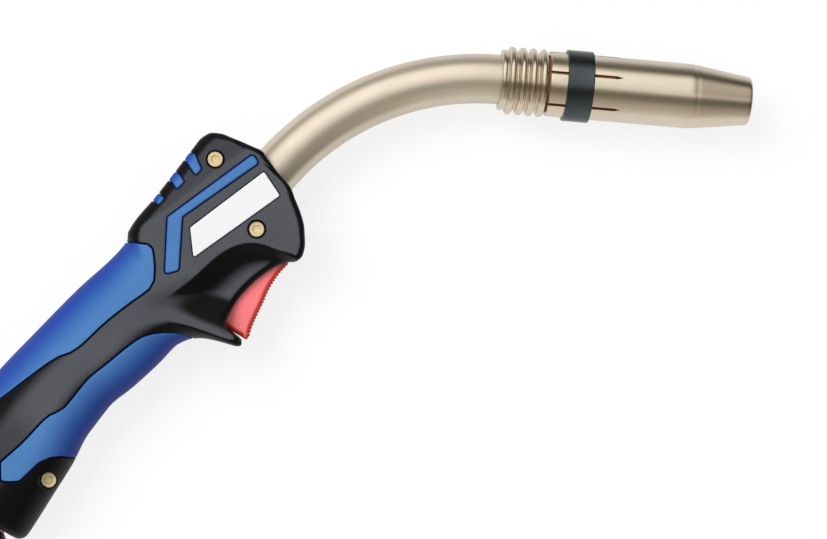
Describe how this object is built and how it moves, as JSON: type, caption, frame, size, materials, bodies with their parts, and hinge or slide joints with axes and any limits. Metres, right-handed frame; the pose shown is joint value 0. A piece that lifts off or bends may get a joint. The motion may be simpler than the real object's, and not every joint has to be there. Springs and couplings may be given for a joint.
{
  "type": "mig welding torch",
  "caption": "Hand-held gas-shielded wire welding torch: bent neck, slotted tapering gas nozzle, two-shell handle with coloured soft grips, lever trigger and a swivelling cable outlet.",
  "frame": {"origin": "centre of the part's box on the surface that the torch lies on, with its flat sides level", "axes": "+X along the gas nozzle to its mouth, +Y from the handle up to the neck in the plane of the bend, +Z across the handle to the side with the label plate"},
  "size_m": [0.3365, 0.2517, 0.04],
  "materials": {
    "shell": "fine moulded grain, satin",
    "grip_blue": "soft overmould, satin",
    "label_white": "blank smooth plate",
    "fastener_brass": "turned brass, bright",
    "trigger_red": "satin moulded plastic",
    "steel": "plain drawn steel",
    "inner_black": "matt moulded plastic",
    "nickel": "warm satin nickel plate on brass",
    "copper": "turned copper alloy",
    "insulation": "pale heat-proof moulding",
    "band_black": "black oxide spring steel",
    "swivel_red": "smooth moulded plastic",
    "swivel_black": "satin moulded plastic"
  },
  "bodies": {
    "handle": {"handle_shell_near": "shell", "handle_shell_far": "shell", "back_grip_near": "grip_blue", "back_grip_far": "grip_blue", "front_grip_near": "grip_blue", "front_grip_far": "grip_blue", "accent_stripe_near": "grip_blue", "accent_stripe_far": "grip_blue", "accent_bars_near": "grip_blue", "accent_bars_far": "grip_blue", "label_plate": "label_white", "sleeve_nuts": "fastener_brass", "sleeve_screws": "fastener_brass", "trigger_pin": "steel", "trigger_spring": "steel", "switch_carrier": "inner_black", "switch_body": "inner_black", "neck_outer_tube": "nickel", "neck_insulation": "insulation", "conductor_tube": "copper", "wire_liner": "steel", "neck_block": "fastener_brass", "neck_nut": "fastener_brass", "ribbed_collar": "nickel", "neck_head": "copper", "nozzle_insulator": "insulation", "gas_diffuser": "insulation", "tip_holder": "fastener_brass", "contact_tip": "copper", "swivel_ring": "swivel_red"},
    "trigger": {"trigger": "trigger_red"},
    "button": {"switch_button": "steel"},
    "nozzle": {"gas_nozzle": "nickel", "clamp_band": "band_black"},
    "swivel": {"swivel_ball": "swivel_black", "swivel_clip": "steel"},
    "housing": {"swivel_housing": "swivel_black", "gland_nut": "swivel_black", "gland_seal": "inner_black"}
  },
  "joints": [
    {"name": "trigger_pivot", "type": "hinge", "parent": "handle", "child": "trigger", "pos_m": [-0.01329, 0.03508, 0.02], "axis": [0, 0, -1], "range_deg": [0, 5], "stiffness_Nm_per_rad": 1, "springref_deg": -2.86, "deforming": ["trigger_spring"]},
    {"name": "button_stroke", "type": "slide", "parent": "handle", "child": "button", "axis": [-0.8387, 0.5446, 0], "range_m": [0, 0.0019]},
    {"name": "nozzle_pull", "type": "slide", "parent": "handle", "child": "nozzle", "axis": [1, 0, 0], "range_m": [0, 0.024]},
    {"name": "swivel_roll", "type": "hinge", "parent": "handle", "child": "swivel", "pos_m": [-0.12473, -0.06932, 0.02], "axis": [-0.5446, -0.8387, 0], "continuous": true},
    {"name": "housing_tilt", "type": "hinge", "parent": "swivel", "child": "housing", "pos_m": [-0.13631, -0.08714, 0.02], "axis": [0, 0, 1], "range_deg": [-15, 15]}
  ],
  "couplings": [
    {"joint": "button_stroke", "follows": "trigger_pivot", "m_per_rad": 0.021}
  ]
}
